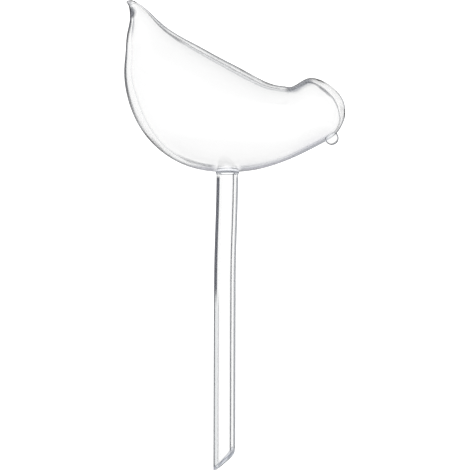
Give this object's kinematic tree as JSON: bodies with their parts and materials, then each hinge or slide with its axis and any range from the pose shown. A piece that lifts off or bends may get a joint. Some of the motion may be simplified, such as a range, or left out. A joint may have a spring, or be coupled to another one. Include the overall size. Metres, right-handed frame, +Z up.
{
  "type": "watering globe",
  "caption": "Clear blown-glass watering bulb in the shape of a perched bird, with an open glass tube cut off slanting that is pushed into potting soil.",
  "frame": {"origin": "on the axis of the tube, where the tube meets the belly of the bulb", "axes": "+Z up along the tube's axis from its cut end to the bulb, +X from the tail to the beak, +Y to the bird's left"},
  "size_m": [0.0812, 0.0396, 0.1715],
  "materials": {
    "bulb_glass": "clear, blown and fire-polished",
    "tube_glass": "clear, drawn, with a fire-polished cut end",
    "bead_glass": "clear, melted to a smooth bead"
  },
  "bodies": {
    "root": {"bird_bulb": "bulb_glass", "stem_tube": "tube_glass", "beak_bead": "bead_glass"}
  },
  "joints": []
}
